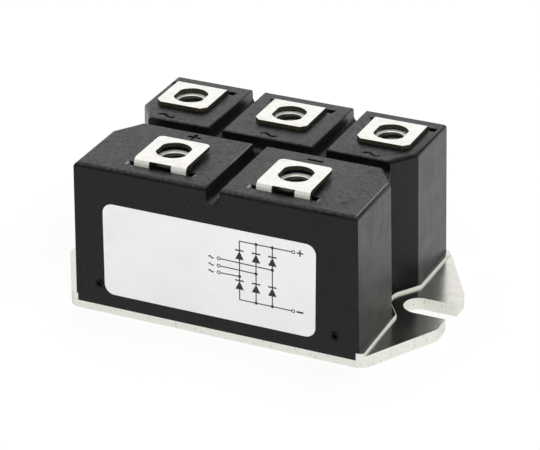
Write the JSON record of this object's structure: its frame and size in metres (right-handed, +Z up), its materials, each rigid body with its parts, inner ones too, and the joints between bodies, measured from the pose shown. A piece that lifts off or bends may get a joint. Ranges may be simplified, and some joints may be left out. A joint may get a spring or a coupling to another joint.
{
  "type": "bridge rectifier",
  "caption": "Block-shaped three-phase power bridge rectifier module with screw terminals in two rows, a drafted black housing and a metal base plate with slotted mounting ears.",
  "frame": {"origin": "centre of the base plate's underside", "axes": "+X along the module from the left ear to the right ear, +Y from the label side to the AC side, +Z up through the terminal screws"},
  "size_m": [0.072, 0.0417, 0.0295],
  "materials": {
    "moulding": "satin black glass-filled plastic",
    "nickel_plate": "satin nickel plating on copper",
    "label": "matt pale grey film",
    "tinned_copper": "satin tin or nickel plating",
    "zinc_steel": "bright zinc plating",
    "alumina": "matt white",
    "copper": "bare copper",
    "silicon": "dark grey, metallised",
    "gel": "clear soft silicone gel"
  },
  "bodies": {
    "root": {"housing": "moulding", "base_plate": "nickel_plate", "label": "label", "terminal_plus": "tinned_copper", "terminal_minus": "tinned_copper", "terminal_ac1": "tinned_copper", "terminal_ac2": "tinned_copper", "terminal_ac3": "tinned_copper", "nut_plus": "zinc_steel", "nut_minus": "zinc_steel", "nut_ac1": "zinc_steel", "nut_ac2": "zinc_steel", "nut_ac3": "zinc_steel", "ceramic_plate": "alumina", "bottom_copper": "copper", "plus_pad": "copper", "minus_pad": "copper", "ac_pad_1": "copper", "ac_pad_2": "copper", "ac_pad_3": "copper", "diode_1": "silicon", "diode_2": "silicon", "diode_3": "silicon", "diode_4": "silicon", "diode_5": "silicon", "diode_6": "silicon", "phase_clip_1": "copper", "phase_clip_2": "copper", "phase_clip_3": "copper", "gel": "gel"}
  },
  "joints": []
}
